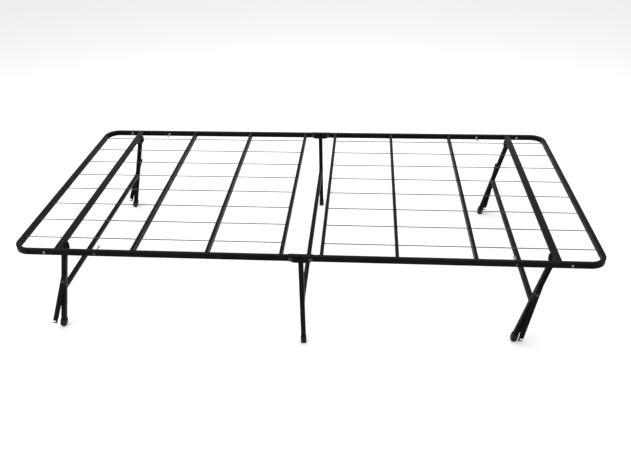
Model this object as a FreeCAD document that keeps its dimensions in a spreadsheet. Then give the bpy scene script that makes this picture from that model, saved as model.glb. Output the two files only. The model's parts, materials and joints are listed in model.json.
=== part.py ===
import FreeCAD, Part
import math
import os
import re

import Sketcher
from FreeCAD import Placement, Rotation, Vector

# A folding metal bed frame.  Two deck halves, each a C-shaped rail of bent rectangular tube with
# cross slats and support wires, meet over a centre stand.  Each half turns on one rivet in a
# U-shaped saddle, and carries a folding leg frame that two hooked braces lock upright.
# Frame: +X runs from the head end (-X) to the foot end (+X), the front side is -Y, +Z is up,
# and the origin lies on the floor under the middle of the deck.  Millimetres and degrees.

SIZES = {
    # deck rail: one bent tube per half
    "deck_length": 1905,
    "deck_width": 965,
    "deck_height": 362,
    "seam_gap": 4,
    "corner_radius": 55,
    "rail_width": 14,
    "rail_height": 20,
    "rail_wall": 1.2,
    "rail_corner": 2,
    # cross slats, upright tube, and the flat one that carries the legs
    "slat_width": 10.6,
    "slat_height": 22,
    "slat_wall": 1,
    "slat_corner": 1.5,
    "slat_drop": 1,
    "first_slat_at": 65,
    "slat_pitch": 246.5,
    "leg_slat_inset": 154,
    "leg_slat_width": 24,
    "leg_slat_height": 9,
    # support wires, let into the top corners of the slats
    "wire_diameter": 3,
    "wire_depth": 3.6,
    "wire_margin": 69.5,
    "wire_clearance": 0.4,
    "wire_bite": 2.5,
    "wire_overrun": 1,
    "notch_reach": 5.2,
    "notch_floor": 0.1,
    # centre saddle and its rivets
    "hinge_at": 32.5,
    "saddle_plate": 2,
    "saddle_reach": 41,
    "saddle_top": 0.8,
    "saddle_end_height": 15,
    "saddle_skirt": 0.3,
    "saddle_dip": 9.5,
    "saddle_dip_reach": 17,
    "saddle_dip_corner": 3,
    "saddle_corner": 4,
    "saddle_gap": 0.3,
    "web_reach": 22,
    "web_plate": 2.5,
    "web_gap": 0.6,
    "rivet_diameter": 8,
    "rivet_head": 13,
    "rivet_head_height": 2.6,
    "running_gap": 0.05,
    # centre stand
    "stand_leg_width": 16.2,
    "stand_leg_depth": 12.7,
    "stand_leg_wall": 1.2,
    "stand_bar_drop": 182,
    "crossbar_size": 15,
    "crossbar_wall": 1,
    "stand_cap_wall": 1.4,
    "stand_cap_height": 26,
    "stand_cap_floor": 3,
    "stand_cap_corner": 4,
    # folding leg frames
    "leg_size": 17,
    "leg_wall": 1.2,
    "leg_corner": 2,
    "leg_inset": 40,
    "pivot_drop": 24,
    "pivot_inset": 3.5,
    "leg_tilt": 13.2,
    "leg_bar_down": 173.6,
    "cap_wall": 2,
    "cap_height": 29,
    "cap_floor": 8,
    "cap_corner": 2.5,
    # leg brackets and pivot bolts
    "bracket_plate": 2,
    "bracket_side_gap": 0.4,
    "bracket_front": 13,
    "stop_gap": 0.109,
    "bracket_drop": 14,
    "bracket_corner": 11,
    "bolt_diameter": 8,
    "bolt_hex": 13,
    "bolt_head_height": 5.3,
    "bolt_end": 3,
    "nut_height": 6.5,
    # hooked braces, their rivets and the studs that they hook on
    "brace_width": 16.2,
    "brace_depth": 7,
    "brace_wall": 1.5,
    "brace_gap": 0.5,
    "brace_down": 134,
    "brace_tail": 35,
    "brace_corner": 4,
    "flange_setback": 17,
    "hook_lip": 4.2,
    "head_brace_swing": 7.9,
    "foot_brace_swing": 5.5,
    "stud_inset": 124,
    "stud_diameter": 6,
    "stud_clearance": 0.5,
    "stud_head": 9.5,
    "stud_head_height": 2.2,
    "stud_play": 1,
    "pin_diameter": 6,
    "pin_shoulder": 10,
    "pin_head": 12,
    "pin_head_height": 2.4,
    "pin_tail": 9,
    "pin_tail_height": 1.5,
    "pin_play": 0.1,
    # headboard holes near the ends of the side rails
    "headboard_hole": 7,
    "headboard_spacing": 47,
    "headboard_margin": 10.5,
}

WIRES = 8
HEAD, FOOT = -1, 1
FRONT, REAR = -1, 1
END_NAMES = {HEAD: "head", FOOT: "foot"}
ROW_NAMES = {FRONT: "front", REAR: "rear"}
BEYOND = 1  # how far a cutting tool runs past the face that it opens

# Places that several pieces share, in terms of the sizes above.
RAIL_INNER_Y = "(deck_width/2 - rail_width)"
RAIL_INNER_X = "(deck_length/2 - rail_width)"
RAIL_MID_Y = "(deck_width/2 - rail_width/2)"
RAIL_MID_Z = "(deck_height - rail_height/2)"
SLAT_TOP = "(deck_height - slat_drop)"
LEG_SLAT_X = "(deck_length/2 - leg_slat_inset)"
LEG_Y = f"({RAIL_INNER_Y} - leg_inset)"
PIVOT_X = f"({LEG_SLAT_X} - pivot_inset)"
PIVOT_Z = "(deck_height - pivot_drop)"
WIRE_PITCH = f"(2*({RAIL_INNER_Y} - wire_margin)/{WIRES - 1})"
WIRE_Z = "(deck_height - wire_depth)"
WIRE_HOLE = "(wire_diameter/2 + wire_clearance)"
WEB_TOP = "(deck_height - rail_height - web_gap)"
LEG_STOP = "(leg_size/2/cos(leg_tilt) + bracket_drop*tan(leg_tilt) + stop_gap)"
CAP_RADIUS = "(leg_size/2 + cap_wall)"
PIVOT_TO_CAP = f"(({PIVOT_Z} - {CAP_RADIUS})/cos(leg_tilt))"
LEG_REACH = f"({PIVOT_TO_CAP} + {CAP_RADIUS} - cap_floor)"
STUD_X = f"({PIVOT_X} - stud_inset)"
BRACE_REACH = "sqrt(stud_inset^2 + (pivot_drop + brace_down - rail_height/2)^2)"
BRACE_IN = "(leg_size/2 + brace_gap)"
BRACE_OUT = f"({BRACE_IN} + brace_depth)"
WEB_IN = f"({BRACE_OUT} - brace_wall)"

doc = FreeCAD.newDocument("bed_frame")
sheet = doc.addObject("Spreadsheet::Sheet", "Sizes")
for row, (alias, value) in enumerate(SIZES.items(), start=1):
    sheet.set(f"A{row}", alias)
    sheet.set(f"B{row}", str(value))
    sheet.setAlias(f"B{row}", alias)
doc.recompute()

parts = []


# ---------------------------------------------------------------- helpers


def cells(text):
    """Turn the plain size names in a formula into references to the sheet's cells."""
    return re.sub(r"[a-z]\w*", lambda m: f"Sizes.{m.group()}" if m.group() in SIZES else m.group(), text)


def times(sign, text):
    """The formula with its sign, for a piece on either side of a middle plane."""
    return text if sign > 0 else f"-({text})"


def between(sign, low, high):
    """A low and a high formula, swapped and negated on the negative side of a middle plane."""
    return (low, high) if sign > 0 else (f"-({high})", f"-({low})")


def bind(item, **formulas):
    """Bind an object's properties to formulas of the sheet's sizes."""
    for name, text in formulas.items():
        item.setExpression(name, cells(text))


def place(item, x="0", y="0", z="0", turn=None, axis=(0, 1, 0)):
    """Place an object by formulas, turned about an axis through its own origin if turn is given."""
    if turn is not None:
        item.Placement = Placement(Vector(), Rotation(Vector(*axis), 1))
        item.setExpression("Placement.Rotation.Angle", cells(turn))
    for name, text in zip("xyz", (x, y, z)):
        item.setExpression(f"Placement.Base.{name}", cells(text))
    return item


def block(name, xs, ys, zs):
    """A box between pairs of formulas on each axis."""
    item = doc.addObject("Part::Box", name)
    bind(item, Length=f"{xs[1]} - ({xs[0]})", Width=f"{ys[1]} - ({ys[0]})", Height=f"{zs[1]} - ({zs[0]})")
    return place(item, xs[0], ys[0], zs[0])


def rod_x(name, radius, xs, y, z):
    """A round bar along X between a pair of formulas."""
    item = doc.addObject("Part::Cylinder", name)
    bind(item, Radius=radius, Height=f"{xs[1]} - ({xs[0]})")
    item.Placement.Rotation = Rotation(Vector(0, 1, 0), 90)
    return place(item, xs[0], y, z)


def rod_y(name, radius, x, ys, z):
    """A round bar along Y between a pair of formulas."""
    item = doc.addObject("Part::Cylinder", name)
    bind(item, Radius=radius, Height=f"{ys[1]} - ({ys[0]})")
    item.Placement.Rotation = Rotation(Vector(1, 0, 0), -90)
    return place(item, x, ys[0], z)


def hex_y(name, across_flats, x, ys, z):
    """A hexagonal bar along Y between a pair of formulas."""
    item = doc.addObject("Part::Prism", name)
    item.Polygon = 6
    bind(item, Circumradius=f"{across_flats}/2/cos(30)", Height=f"{ys[1]} - ({ys[0]})")
    item.Placement.Rotation = Rotation(Vector(1, 0, 0), -90)
    return place(item, x, ys[0], z)


def cut(name, base, *tools):
    """The base less the tools."""
    item = doc.addObject("Part::Cut", name)
    item.Base = base
    item.Tool = tools[0] if len(tools) == 1 else fuse(f"{name}_tools", *tools)
    return item


def fuse(name, *shapes):
    """The shapes joined into one."""
    item = doc.addObject("Part::MultiFuse", name)
    item.Shapes = list(shapes)
    item.Refine = True
    return item


def group(name, *shapes):
    """Separate solids that share one node."""
    item = doc.addObject("Part::Compound", name)
    item.Links = list(shapes)
    return item


def rounded(name, base, radius, chosen):
    """The base with the edges rounded for which chosen(edge, box) holds; box is the base's own box."""
    doc.recompute()
    item = doc.addObject("Part::Fillet", name)
    item.Base = base
    size, box = SIZES[radius], base.Shape.BoundBox
    edges = [i for i, edge in enumerate(base.Shape.Edges, start=1) if chosen(edge, box)]
    item.Edges = [(i, size, size) for i in edges]
    return item


def keep(item, label):
    """Register a finished sub-part under the label that names its node."""
    item.Label = label
    parts.append(item)
    return item


def near(a, b):
    """Whether two coordinates are the same place."""
    return abs(a - b) < 1e-4


def along(edge, axis):
    """Whether a straight edge runs along the axis with this number (0 is X, 1 is Y, 2 is Z)."""
    if edge.Curve.TypeId != "Part::GeomLine":
        return False
    return abs(abs(edge.Curve.Direction[axis]) - 1) < 1e-6


def origin_plane(body, role):
    """A body's own base plane, found by its role."""
    return next(item for item in body.Origin.OriginFeatures if item.Role == role)


def sketch_on(body, name, role):
    """An empty sketch on one of the body's base planes."""
    sketch = body.newObject("Sketcher::SketchObject", name)
    sketch.AttachmentSupport = (origin_plane(body, role), [""])
    sketch.MapMode = "FlatFace"
    return sketch


def constrain(sketch, kind, *args, formula=None):
    """Add a constraint, bound to a formula where one is given (its last argument is then a first value)."""
    index = sketch.addConstraint(Sketcher.Constraint(kind, *args))
    if formula:
        sketch.setExpression(f"Constraints[{index}]", cells(formula))


def rounded_rectangle(sketch, width, height, radius, formulas):
    """A rectangle with rounded corners, centred on the sketch's origin, with its three sizes bound."""
    x, y = width / 2, height / 2
    corners = [(x - radius, y - radius, 0), (radius - x, y - radius, 1),
               (radius - x, radius - y, 2), (x - radius, radius - y, 3)]
    quarter = math.pi / 2
    arcs = [sketch.addGeometry(Part.ArcOfCircle(Part.Circle(Vector(a, b, 0), Vector(0, 0, 1), radius),
                                                n * quarter, (n + 1) * quarter), False)
            for a, b, n in corners]
    ends = [((x - radius, y), (radius - x, y)), ((-x, y - radius), (-x, radius - y)),
            ((radius - x, -y), (x - radius, -y)), ((x, radius - y), (x, y - radius))]
    lines = [sketch.addGeometry(Part.LineSegment(Vector(*a, 0), Vector(*b, 0)), False) for a, b in ends]
    for n in range(4):
        constrain(sketch, "Tangent", arcs[n], 2, lines[n], 1)
        constrain(sketch, "Tangent", lines[n], 2, arcs[(n + 1) % 4], 1)
    for n in (1, 2, 3):
        constrain(sketch, "Equal", arcs[0], arcs[n])
    constrain(sketch, "Horizontal", lines[0])
    constrain(sketch, "Vertical", lines[1])
    constrain(sketch, "Symmetric", lines[0], 1, lines[2], 1, -1, 1)
    constrain(sketch, "Radius", arcs[0], radius, formula=formulas[2])
    constrain(sketch, "DistanceX", arcs[1], 3, arcs[0], 3, width - 2 * radius,
              formula=f"{formulas[0]} - 2*({formulas[2]})")
    constrain(sketch, "DistanceY", arcs[3], 3, arcs[0], 3, height - 2 * radius,
              formula=f"{formulas[1]} - 2*({formulas[2]})")


def tube_section(sketch, width, height, wall, corner):
    """The outer and inner outline of a rectangular tube, from the names of its four sizes."""
    across, tall, thick, round_off = (SIZES[name] for name in (width, height, wall, corner))
    rounded_rectangle(sketch, across, tall, round_off, (width, height, corner))
    rounded_rectangle(sketch, across - 2 * thick, tall - 2 * thick, round_off - thick,
                      (f"{width} - 2*{wall}", f"{height} - 2*{wall}", f"{corner} - {wall}"))


def tube(name, width, height, wall, corner, length, direction="z"):
    """A straight rectangular tube from the origin along +Z or +Y; its height lies along Y or Z."""
    body = doc.addObject("PartDesign::Body", name)
    section = sketch_on(body, f"{name}_section", "XY_Plane")
    tube_section(section, width, height, wall, corner)
    pad = body.newObject("PartDesign::Pad", f"{name}_pad")
    pad.Profile = section
    bind(pad, Length=length)
    if direction == "y":
        body.Placement.Rotation = Rotation(Vector(1, 0, 0), -90)
    return body


# ---------------------------------------------------------------- deck halves


def wire_places():
    """The formulas for where the support wires lie across the bed."""
    return [f"{n - (WIRES - 1)/2}*{WIRE_PITCH}" for n in range(WIRES)]


def slat_places():
    """The name, middle and section sizes of each slat of a half, from the seam outwards."""
    upright = ("slat_width", "slat_height")
    return [("slat_1", "first_slat_at", *upright),
            ("slat_2", f"({LEG_SLAT_X} - 2*slat_pitch)", *upright),
            ("slat_3", f"({LEG_SLAT_X} - slat_pitch)", *upright),
            ("leg_slat", LEG_SLAT_X, "leg_slat_width", "leg_slat_height")]


def rim_path(body, name, end):
    """The middle line of the rail: side, corner, end, corner, side, open at the seam."""
    sketch = sketch_on(body, name, "XY_Plane")
    middle = SIZES["rail_width"] / 2
    start = end * SIZES["seam_gap"] / 2
    far = end * (SIZES["deck_length"] / 2 - middle)
    side = SIZES["deck_width"] / 2 - middle
    bend = SIZES["corner_radius"] - middle
    inner = far - end * bend
    runs = [((start, -side), (inner, -side)), ((far, bend - side), (far, side - bend)),
            ((inner, side), (start, side))]
    lines = [sketch.addGeometry(Part.LineSegment(Vector(*a, 0), Vector(*b, 0)), False) for a, b in runs]
    diagonal = bend * (1 - 0.5 ** 0.5)
    mids = [((inner, -side), (far - end * diagonal, diagonal - side), (far, bend - side)),
            ((far, side - bend), (far - end * diagonal, side - diagonal), (inner, side))]
    arcs = []
    for points in mids:
        arcs.append(sketch.addGeometry(Part.ArcOfCircle(*(Vector(*point, 0) for point in points)), False))
    joints = [(lines[0], 2, arcs[0]), (lines[1], 1, arcs[0]), (lines[1], 2, arcs[1]), (lines[2], 1, arcs[1])]
    for line, point, arc in joints:
        spot = sketch.getPoint(line, point)
        arc_end = min((1, 2), key=lambda n: sketch.getPoint(arc, n).distanceToPoint(spot))
        constrain(sketch, "Tangent", line, point, arc, arc_end)
    constrain(sketch, "Horizontal", lines[0])
    constrain(sketch, "Vertical", lines[1])
    constrain(sketch, "Equal", arcs[0], arcs[1])
    constrain(sketch, "Radius", arcs[0], bend, formula="corner_radius - rail_width/2")
    constrain(sketch, "Symmetric", lines[0], 1, lines[2], 2, -1)
    constrain(sketch, "DistanceX", -1, 1, lines[0], 1, start, formula=times(end, "seam_gap/2"))
    constrain(sketch, "DistanceX", -1, 1, lines[1], 1, far,
              formula=times(end, "deck_length/2 - rail_width/2"))
    constrain(sketch, "DistanceY", -1, 1, lines[0], 1, -side, formula=f"-{RAIL_MID_Y}")
    return sketch


def rim_tube(end):
    """One half's rail: a bent tube with the rivet, stud, headboard and wire holes."""
    name = f"{END_NAMES[end]}_rim"
    body = doc.addObject("PartDesign::Body", f"{name}_bent")
    path = rim_path(body, f"{name}_path", end)
    section = sketch_on(body, f"{name}_section", "YZ_Plane")
    bind(section, **{"AttachmentOffset.Base.x": f"-{RAIL_MID_Y}",
                     "AttachmentOffset.Base.z": times(end, "seam_gap/2")})
    tube_section(section, "rail_width", "rail_height", "rail_wall", "rail_corner")
    doc.recompute()
    pipe = body.newObject("PartDesign::AdditivePipe", f"{name}_pipe")
    pipe.Profile = section
    pipe.Spine = (path, [f"Edge{n + 1}" for n in range(len(path.Shape.Edges))])
    place(body, z=RAIL_MID_Z)

    across = (f"-(deck_width/2 + {BEYOND})", f"deck_width/2 + {BEYOND}")
    hole_x = "(deck_length/2 - corner_radius - headboard_margin)"
    holes = [("hinge", "rivet_diameter/2 + running_gap", "hinge_at"),
             ("stud", "stud_diameter/2", STUD_X),
             ("headboard_outer", "headboard_hole/2", hole_x),
             ("headboard_inner", "headboard_hole/2", f"({hole_x} - headboard_spacing)")]
    tools = [rod_y(f"{name}_{kind}_hole", radius, times(end, x), across, RAIL_MID_Z)
             for kind, radius, x in holes]
    bite = between(end, f"{RAIL_INNER_X} - {BEYOND}", f"{RAIL_INNER_X} + rail_width/2")
    tools += [rod_x(f"{name}_wire_hole_{n}", WIRE_HOLE, bite, y, WIRE_Z)
              for n, y in enumerate(wire_places())]
    keep(cut(f"{name}_drilled", body, *tools), f"{END_NAMES[end]}_rim_tube")


def slat(end, kind, x, width, height):
    """A cross slat between the rails, with its top corners notched for the wires."""
    name = f"{END_NAMES[end]}_{kind}"
    body = tube(f"{name}_tube", width, height, "slat_wall", "slat_corner", f"2*{RAIL_INNER_Y}", "y")
    place(body, times(end, x), f"-{RAIL_INNER_Y}", f"{SLAT_TOP} - {height}/2")
    tools = []
    edge = f"{width}/2"
    sides = [(f"-{edge} - {BEYOND}", f"notch_reach - {edge}"),
             (f"{edge} - notch_reach", f"{edge} + {BEYOND}")]
    for n, y in enumerate(wire_places()):
        for m, (low, high) in enumerate(sides):
            tools.append(block(f"{name}_notch_{n}_{m}",
                               (f"{times(end, x)} + {low}", f"{times(end, x)} + {high}"),
                               (f"{y} - {WIRE_HOLE}", f"{y} + {WIRE_HOLE}"),
                               (f"{WIRE_Z} - wire_diameter/2 - notch_floor", f"deck_height + {BEYOND}")))
    keep(cut(f"{name}_notched", body, *tools), name)


def support_wires(end):
    """The wires of a half, from inside the end rail to the slat beside the seam."""
    name = f"{END_NAMES[end]}_support_wires"
    xs = between(end, "first_slat_at - slat_width/2 + wire_overrun", f"{RAIL_INNER_X} + wire_bite")
    wires = [rod_x(f"{name}_{n}", "wire_diameter/2", xs, y, WIRE_Z) for n, y in enumerate(wire_places())]
    keep(group(f"{name}_all", *wires), name)


def brace_studs(end):
    """The headed studs that the braces hook on, one riveted through each side rail."""
    name = f"{END_NAMES[end]}_brace_studs"
    studs = []
    for row in (FRONT, REAR):
        stud = f"{name}_{ROW_NAMES[row]}"
        x = times(end, STUD_X)
        inner = f"({LEG_Y} + {WEB_IN} - stud_play)"
        shank = rod_y(f"{stud}_shank", "stud_diameter/2", x, between(row, inner, "deck_width/2"), RAIL_MID_Z)
        knob = rod_y(f"{stud}_knob", "stud_head/2", x,
                     between(row, f"{inner} - stud_head_height", inner), RAIL_MID_Z)
        collar = rod_y(f"{stud}_collar", "stud_head/2", x,
                       between(row, f"{RAIL_INNER_Y} - stud_head_height", RAIL_INNER_Y), RAIL_MID_Z)
        head = rod_y(f"{stud}_head", "stud_head/2", x,
                     between(row, "deck_width/2", "deck_width/2 + stud_head_height"), RAIL_MID_Z)
        studs.append(fuse(stud, shank, knob, collar, head))
    keep(group(f"{name}_all", *studs), name)


# ---------------------------------------------------------------- centre stand


def hinge_saddle(row):
    """The U-shaped saddle: two plates, the front one dipped at the seam, and a web under the rails."""
    name = f"hinge_saddle_{ROW_NAMES[row]}"
    outer = "(rail_width/2 + saddle_gap + saddle_plate)"
    inner = "(rail_width/2 + saddle_gap)"
    y = times(row, RAIL_MID_Y)
    ys = (f"{y} - {outer}", f"{y} + {outer}")
    top = "(deck_height - saddle_top)"
    shoulder = f"({top} - saddle_end_height)"
    bottom = f"({WEB_TOP} - web_plate - saddle_skirt)"
    upper = block(f"{name}_upper", ("-saddle_reach", "saddle_reach"), ys, (shoulder, top))
    lower = doc.addObject("Part::Wedge", f"{name}_lower")
    bind(lower, Xmin="-web_reach", Xmax="web_reach", X2min="-saddle_reach", X2max="saddle_reach",
         Ymin="0", Ymax=f"{shoulder} - {bottom}",
         Zmin="0", Zmax=f"2*{outer}", Z2min="0", Z2max=f"2*{outer}")
    lower.Placement.Rotation = Rotation(Vector(1, 0, 0), 90)
    place(lower, "0", f"{y} + {outer}", bottom)
    plates = fuse(f"{name}_plates", upper, lower)
    soft = rounded(f"{name}_soft", plates, "saddle_corner", lambda edge, box: along(edge, 1))
    inside = (f"{y} - {inner}", f"{y} + {inner}")
    ends = f"saddle_reach + {BEYOND}"
    dip = block(f"{name}_dip", ("-saddle_dip_reach", "saddle_dip_reach"),
                (f"{ys[0]} - {BEYOND}", y), ("deck_height - saddle_dip", "deck_height + saddle_dip_corner"))
    tools = [
        rounded(f"{name}_dip_soft", dip, "saddle_dip_corner", lambda edge, box: (
            along(edge, 1) and near(edge.BoundBox.ZMin, box.ZMin))),
        block(f"{name}_channel", (f"-({ends})", ends), inside, (WEB_TOP, f"deck_height + {BEYOND}")),
        block(f"{name}_socket", (f"-({ends})", ends), inside,
              (f"{bottom} - {BEYOND}", f"{WEB_TOP} - web_plate")),
    ]
    for end in (HEAD, FOOT):
        tag = END_NAMES[end]
        tools.append(block(f"{name}_{tag}_window", between(end, "web_reach", ends), inside,
                           (f"{bottom} - {BEYOND}", f"deck_height + {BEYOND}")))
        tools.append(rod_y(f"{name}_{tag}_hole", "rivet_diameter/2", times(end, "hinge_at"),
                           (f"{ys[0]} - {BEYOND}", f"{ys[1]} + {BEYOND}"), RAIL_MID_Z))
    keep(cut(f"{name}_bent", soft, *tools), name)


def hinge_rivets(row):
    """The two rivets of a saddle, each with a head on both plates."""
    name = f"hinge_rivets_{ROW_NAMES[row]}"
    outer = "(rail_width/2 + saddle_gap + saddle_plate)"
    y = times(row, RAIL_MID_Y)
    rivets = []
    for end in (HEAD, FOOT):
        rivet = f"{name}_{END_NAMES[end]}"
        x = times(end, "hinge_at")
        shank = rod_y(f"{rivet}_shank", "rivet_diameter/2", x,
                      (f"{y} - {outer}", f"{y} + {outer}"), RAIL_MID_Z)
        low = rod_y(f"{rivet}_low", "rivet_head/2", x,
                    (f"{y} - {outer} - rivet_head_height", f"{y} - {outer}"), RAIL_MID_Z)
        high = rod_y(f"{rivet}_high", "rivet_head/2", x,
                     (f"{y} + {outer}", f"{y} + {outer} + rivet_head_height"), RAIL_MID_Z)
        rivets.append(fuse(rivet, shank, low, high))
    keep(group(f"{name}_all", *rivets), name)


def stand_leg(row):
    """A centre leg, welded under the saddle's web and standing in its foot cap."""
    name = f"center_leg_{ROW_NAMES[row]}"
    body = tube(name, "stand_leg_width", "stand_leg_depth", "stand_leg_wall", "rail_corner",
                f"{WEB_TOP} - web_plate - stand_cap_floor")
    keep(place(body, "0", times(row, RAIL_MID_Y), "stand_cap_floor"), name)


def stand_cap(row):
    """A centre foot cap: a square plastic cup over the leg, with a flat sole and rounded edges."""
    name = f"center_leg_cap_{ROW_NAMES[row]}"
    y = times(row, RAIL_MID_Y)
    half_x, half_y = "(stand_leg_width/2)", "(stand_leg_depth/2)"
    shell = block(f"{name}_shell", (f"-{half_x} - stand_cap_wall", f"{half_x} + stand_cap_wall"),
                  (f"{y} - {half_y} - stand_cap_wall", f"{y} + {half_y} + stand_cap_wall"),
                  ("0", "stand_cap_height"))
    soft = rounded(f"{name}_soft", shell, "stand_cap_corner",
                   lambda edge, box: not near(edge.BoundBox.ZMin, box.ZMax))
    cup = block(f"{name}_cup", (f"-{half_x}", half_x), (f"{y} - {half_y}", f"{y} + {half_y}"),
                ("stand_cap_floor", f"stand_cap_height + {BEYOND}"))
    # The cup's own corners follow the tube's.
    bore = rounded(f"{name}_bore", cup, "rail_corner", lambda edge, box: along(edge, 2))
    keep(cut(f"{name}_hollow", soft, bore), name)


def stand_crossbar():
    """The bar between the centre legs."""
    reach = f"({RAIL_MID_Y} - stand_leg_depth/2)"
    body = tube("center_crossbar", "crossbar_size", "crossbar_size", "crossbar_wall", "slat_corner",
                f"2*{reach}", "y")
    keep(place(body, "0", f"-{reach}", "deck_height - stand_bar_drop"), "center_crossbar")


# ---------------------------------------------------------------- folding leg frames


def on_leg_frame(item, end):
    """Stand a piece of a leg frame, built about the pivot axis, in its leaning place under the deck."""
    return place(item, times(end, PIVOT_X), "0", PIVOT_Z, "leg_tilt")


def leg(end, row):
    """A leg tube: its top rounded about the pivot, with the bolt hole and the brace rivet's hole."""
    name = f"{END_NAMES[end]}_leg_{ROW_NAMES[row]}"
    y = times(row, LEG_Y)
    body = tube(f"{name}_tube", "leg_size", "leg_size", "leg_wall", "leg_corner", f"{LEG_REACH} + leg_size/2")
    place(body, "0", y, f"-{LEG_REACH}")
    side = f"(leg_size/2 + {BEYOND})"
    ys = (f"{y} - {side}", f"{y} + {side}")
    corner = block(f"{name}_corner", (f"-{side}", side), ys, ("0", side))
    round_top = rod_y(f"{name}_round", "leg_size/2", "0", (f"{ys[0]} - {BEYOND}", f"{ys[1]} + {BEYOND}"), "0")
    top = cut(f"{name}_top", corner, round_top)
    bolt = rod_y(f"{name}_bolt_hole", "bolt_diameter/2 + running_gap", "0", ys, "0")
    pin = rod_y(f"{name}_pin_hole", "pin_diameter/2", "0",
                between(row, LEG_Y, f"{LEG_Y} + {side}"), "-brace_down")
    keep(on_leg_frame(cut(f"{name}_drilled", body, top, bolt, pin), end), name)


def leg_crossbar(end):
    """The bar between the two legs of a frame."""
    name = f"{END_NAMES[end]}_leg_crossbar"
    reach = f"({LEG_Y} - leg_size/2)"
    body = tube(f"{name}_tube", "crossbar_size", "crossbar_size", "crossbar_wall", "slat_corner",
                f"2*{reach}", "y")
    place(body, "0", f"-{reach}", "-leg_bar_down")
    keep(on_leg_frame(group(f"{name}_set", body), end), name)


def leg_cap(end, row):
    """An end foot cap: a cup over the leg with a half-round sole, so it stands at any lean."""
    name = f"{END_NAMES[end]}_leg_cap_{ROW_NAMES[row]}"
    y = times(row, LEG_Y)
    ys = (f"{y} - {CAP_RADIUS}", f"{y} + {CAP_RADIUS}")
    rim = f"({PIVOT_TO_CAP} + {CAP_RADIUS} - cap_height)"
    wall = block(f"{name}_wall", (f"-{CAP_RADIUS}", CAP_RADIUS), ys, (f"-{PIVOT_TO_CAP}", f"-{rim}"))
    sole = rod_y(f"{name}_sole", CAP_RADIUS, "0", ys, f"-{PIVOT_TO_CAP}")
    shell = fuse(f"{name}_shell", wall, sole)
    soft = rounded(f"{name}_soft", shell, "cap_corner", lambda edge, box: (
        near(edge.BoundBox.YMin, edge.BoundBox.YMax) and not near(edge.BoundBox.ZMin, box.ZMax)))
    half = "(leg_size/2)"
    cup = block(f"{name}_cup", (f"-{half}", half), (f"{y} - {half}", f"{y} + {half}"),
                (f"-{LEG_REACH}", f"-{rim} + {BEYOND}"))
    bore = rounded(f"{name}_bore", cup, "leg_corner", lambda edge, box: along(edge, 2))
    keep(on_leg_frame(cut(f"{name}_hollow", soft, bore), end), name)


def leg_bracket(end, row):
    """The bent bracket under the leg slat: two cheeks, a top plate, and a back that stops the leg."""
    name = f"{END_NAMES[end]}_leg_bracket_{ROW_NAMES[row]}"
    y = times(row, LEG_Y)
    inner = "(leg_size/2 + bracket_side_gap)"
    outer = f"({inner} + bracket_plate)"
    top = f"({SLAT_TOP} - leg_slat_height)"
    bottom = f"({PIVOT_Z} - bracket_drop)"
    x = times(end, PIVOT_X)
    low, high = between(end, "-bracket_front", f"{LEG_STOP} + bracket_plate")
    shell = block(f"{name}_shell", (f"{x} + {low}", f"{x} + {high}"), (f"{y} - {outer}", f"{y} + {outer}"),
                  (bottom, top))
    soft = rounded(f"{name}_soft", shell, "bracket_corner", lambda edge, box: (
        along(edge, 1) and near(edge.BoundBox.ZMin, box.ZMin)
        and near(edge.BoundBox.XMin, box.XMin if end > 0 else box.XMax)))
    low, high = between(end, f"-bracket_front - {BEYOND}", LEG_STOP)
    room = block(f"{name}_room", (f"{x} + {low}", f"{x} + {high}"), (f"{y} - {inner}", f"{y} + {inner}"),
                 (f"{bottom} - {BEYOND}", f"{top} - bracket_plate"))
    hole = rod_y(f"{name}_hole", "bolt_diameter/2", x,
                 (f"{y} - {outer} - {BEYOND}", f"{y} + {outer} + {BEYOND}"), PIVOT_Z)
    keep(cut(f"{name}_bent", soft, room, hole), name)


def pivot_bolt(end, row):
    """A pivot bolt, its head outboard, and the nut inboard of the bracket."""
    tag = f"{END_NAMES[end]}_leg"
    cheek = "(leg_size/2 + bracket_side_gap + bracket_plate)"
    x = times(end, PIVOT_X)
    name = f"{tag}_bolt_{ROW_NAMES[row]}"
    shank = rod_y(f"{name}_shank", "bolt_diameter/2", x,
                  between(row, f"{LEG_Y} - {cheek} - nut_height - bolt_end", f"{LEG_Y} + {cheek}"), PIVOT_Z)
    head = hex_y(f"{name}_head", "bolt_hex", x,
                 between(row, f"{LEG_Y} + {cheek}", f"{LEG_Y} + {cheek} + bolt_head_height"), PIVOT_Z)
    keep(fuse(f"{name}_whole", shank, head), name)
    name = f"{tag}_nut_{ROW_NAMES[row]}"
    ys = between(row, f"{LEG_Y} - {cheek} - nut_height", f"{LEG_Y} - {cheek}")
    blank = hex_y(f"{name}_blank", "bolt_hex", x, ys, PIVOT_Z)
    bore = rod_y(f"{name}_bore", "bolt_diameter/2", x,
                 (f"{ys[0]} - {BEYOND}", f"{ys[1]} + {BEYOND}"), PIVOT_Z)
    keep(cut(f"{name}_bored", blank, bore), name)


# ---------------------------------------------------------------- braces


def brace_lean(end):
    """How far a hanging brace leans, as a turn about +Y from straight down."""
    return "leg_tilt + head_brace_swing" if end == HEAD else "leg_tilt - foot_brace_swing"


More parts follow.
